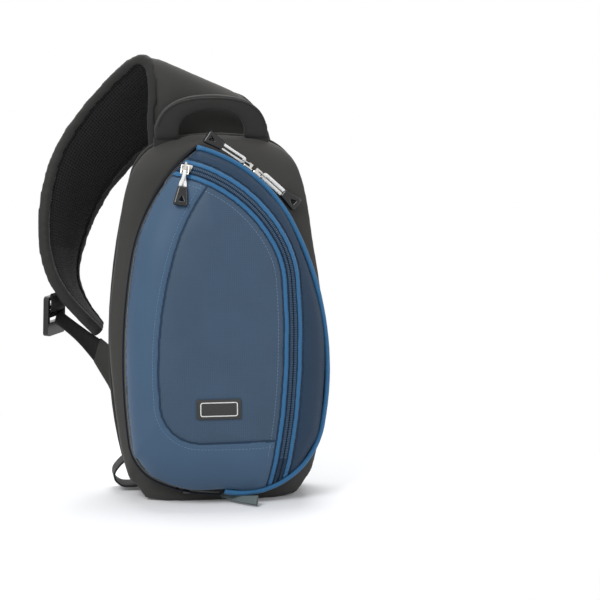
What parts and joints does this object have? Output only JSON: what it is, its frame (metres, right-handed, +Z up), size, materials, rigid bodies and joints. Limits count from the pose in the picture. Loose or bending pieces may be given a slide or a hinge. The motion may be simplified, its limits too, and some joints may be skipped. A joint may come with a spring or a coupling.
{
  "type": "sling bag",
  "caption": "Padded single-shoulder sling bag with a zipped front flap, outer pocket, dividers, carry handle and wide cushioned strap.",
  "frame": {"origin": "middle of the flat base, on the surface the bag stands on", "axes": "+Z up; the zipped front faces -Y and leans back; +X to the right of the front"},
  "size_m": [0.2561, 0.1647, 0.3936],
  "materials": {
    "charcoal_nylon": "matte",
    "blue_satin": "satin",
    "blue_ripstop": "satin",
    "navy_gusset": "satin",
    "light_blue_piping": "satin",
    "zip_blue": "matte",
    "zip_coil": "satin",
    "foam": "matte",
    "grey_lining": "matte",
    "black_mesh": "matte",
    "black_webbing": "matte",
    "black_plastic": "satin",
    "nickel": "polished",
    "white_cord": "matte",
    "grey_tab": "satin",
    "label_rubber": "matte"
  },
  "bodies": {
    "bag": {"outer_casing": "charcoal_nylon", "casing_foam": "foam", "casing_lining": "grey_lining", "back_pad": "black_mesh", "casing_zip_tape": "zip_blue", "casing_zip_row": "zip_coil", "handle_foot_left": "charcoal_nylon", "handle_foot_right": "charcoal_nylon", "strap_foam": "foam", "strap_outer": "charcoal_nylon", "strap_mesh": "black_mesh", "strap_binding_near": "black_webbing", "strap_binding_far": "black_webbing", "ladder_lock": "black_plastic", "buckle_webbing": "black_webbing", "adjuster_webbing": "black_webbing", "webbing_anchor": "black_webbing", "corner_loop": "black_webbing", "pull_tab": "grey_tab"},
    "front_flap": {"flap_foam": "foam", "flap_lining": "grey_lining", "gusset_panel": "navy_gusset", "side_panel": "blue_satin", "centre_panel": "blue_ripstop", "pocket_outer_welt": "light_blue_piping", "pocket_inner_welt": "light_blue_piping", "pocket_outer_row": "zip_coil", "pocket_inner_row": "zip_coil", "flap_zip_tape": "zip_blue", "flap_zip_row": "zip_coil", "main_piping": "light_blue_piping", "label_patch": "label_rubber"},
    "handle": {"carry_handle": "charcoal_nylon"},
    "lower_divider": {"divider_lower": "grey_lining"},
    "upper_divider": {"divider_upper": "grey_lining"},
    "first_slider": {"main_slider_first": "nickel"},
    "first_pull": {"pull_ring_first": "nickel", "pull_cord_first": "white_cord", "pull_grip_first": "black_plastic"},
    "second_slider": {"main_slider_second": "nickel"},
    "second_pull": {"pull_ring_second": "nickel", "pull_cord_second": "white_cord", "pull_grip_second": "black_plastic"},
    "pocket_slider": {"pocket_slider": "nickel"},
    "pocket_pull": {"pull_ring_pocket": "nickel", "pull_cord_pocket": "white_cord", "pull_grip_pocket": "black_plastic"}
  },
  "joints": [
    {"name": "flap_hinge", "type": "hinge", "parent": "bag", "child": "front_flap", "pos_m": [-0.087, -0.00573, 0.15844], "axis": [0, -0.1392, -0.9903], "range_deg": [0, 90]},
    {"name": "first_slider_travel", "type": "hinge", "parent": "front_flap", "child": "first_slider", "pos_m": [-0.05216, -0.00184, 0.18617], "axis": [0, -0.9903, 0.1392], "range_deg": [0, 17]},
    {"name": "first_pull_swing", "type": "hinge", "parent": "first_slider", "child": "first_pull", "pos_m": [0.02941, 0.01373, 0.29695], "axis": [0, 0.9903, -0.1392], "range_deg": [0, 50]},
    {"name": "second_slider_travel", "type": "hinge", "parent": "front_flap", "child": "second_slider", "pos_m": [-0.05216, -0.00184, 0.18617], "axis": [0, 0.9903, -0.1392], "range_deg": [0, 11]},
    {"name": "second_pull_swing", "type": "hinge", "parent": "second_slider", "child": "second_pull", "pos_m": [0.03757, 0.01284, 0.29058], "axis": [0, -0.9903, 0.1392], "range_deg": [0, 80]},
    {"name": "pocket_slider_travel", "type": "hinge", "parent": "front_flap", "child": "pocket_slider", "pos_m": [-0.00455, 0.03084, 0.26776], "axis": [0.4358, 0.3682, 0.8213], "range_deg": [0, 9]},
    {"name": "pocket_pull_lift", "type": "hinge", "parent": "pocket_slider", "child": "pocket_pull", "pos_m": [-0.02975, -0.00833, 0.29884], "axis": [-0.9845, 0.0244, 0.1737], "range_deg": [0, 100]},
    {"name": "handle_tilt", "type": "hinge", "parent": "bag", "child": "handle", "pos_m": [-0.003, 0.031, 0.325], "axis": [1, 0, 0], "range_deg": [-10, 55]},
    {"name": "lower_divider_shift", "type": "slide", "parent": "bag", "child": "lower_divider", "axis": [0, 0, 1], "range_m": [-0.012, 0.012]},
    {"name": "upper_divider_shift", "type": "slide", "parent": "bag", "child": "upper_divider", "axis": [0, 0, 1], "range_m": [-0.012, 0.012]}
  ]
}
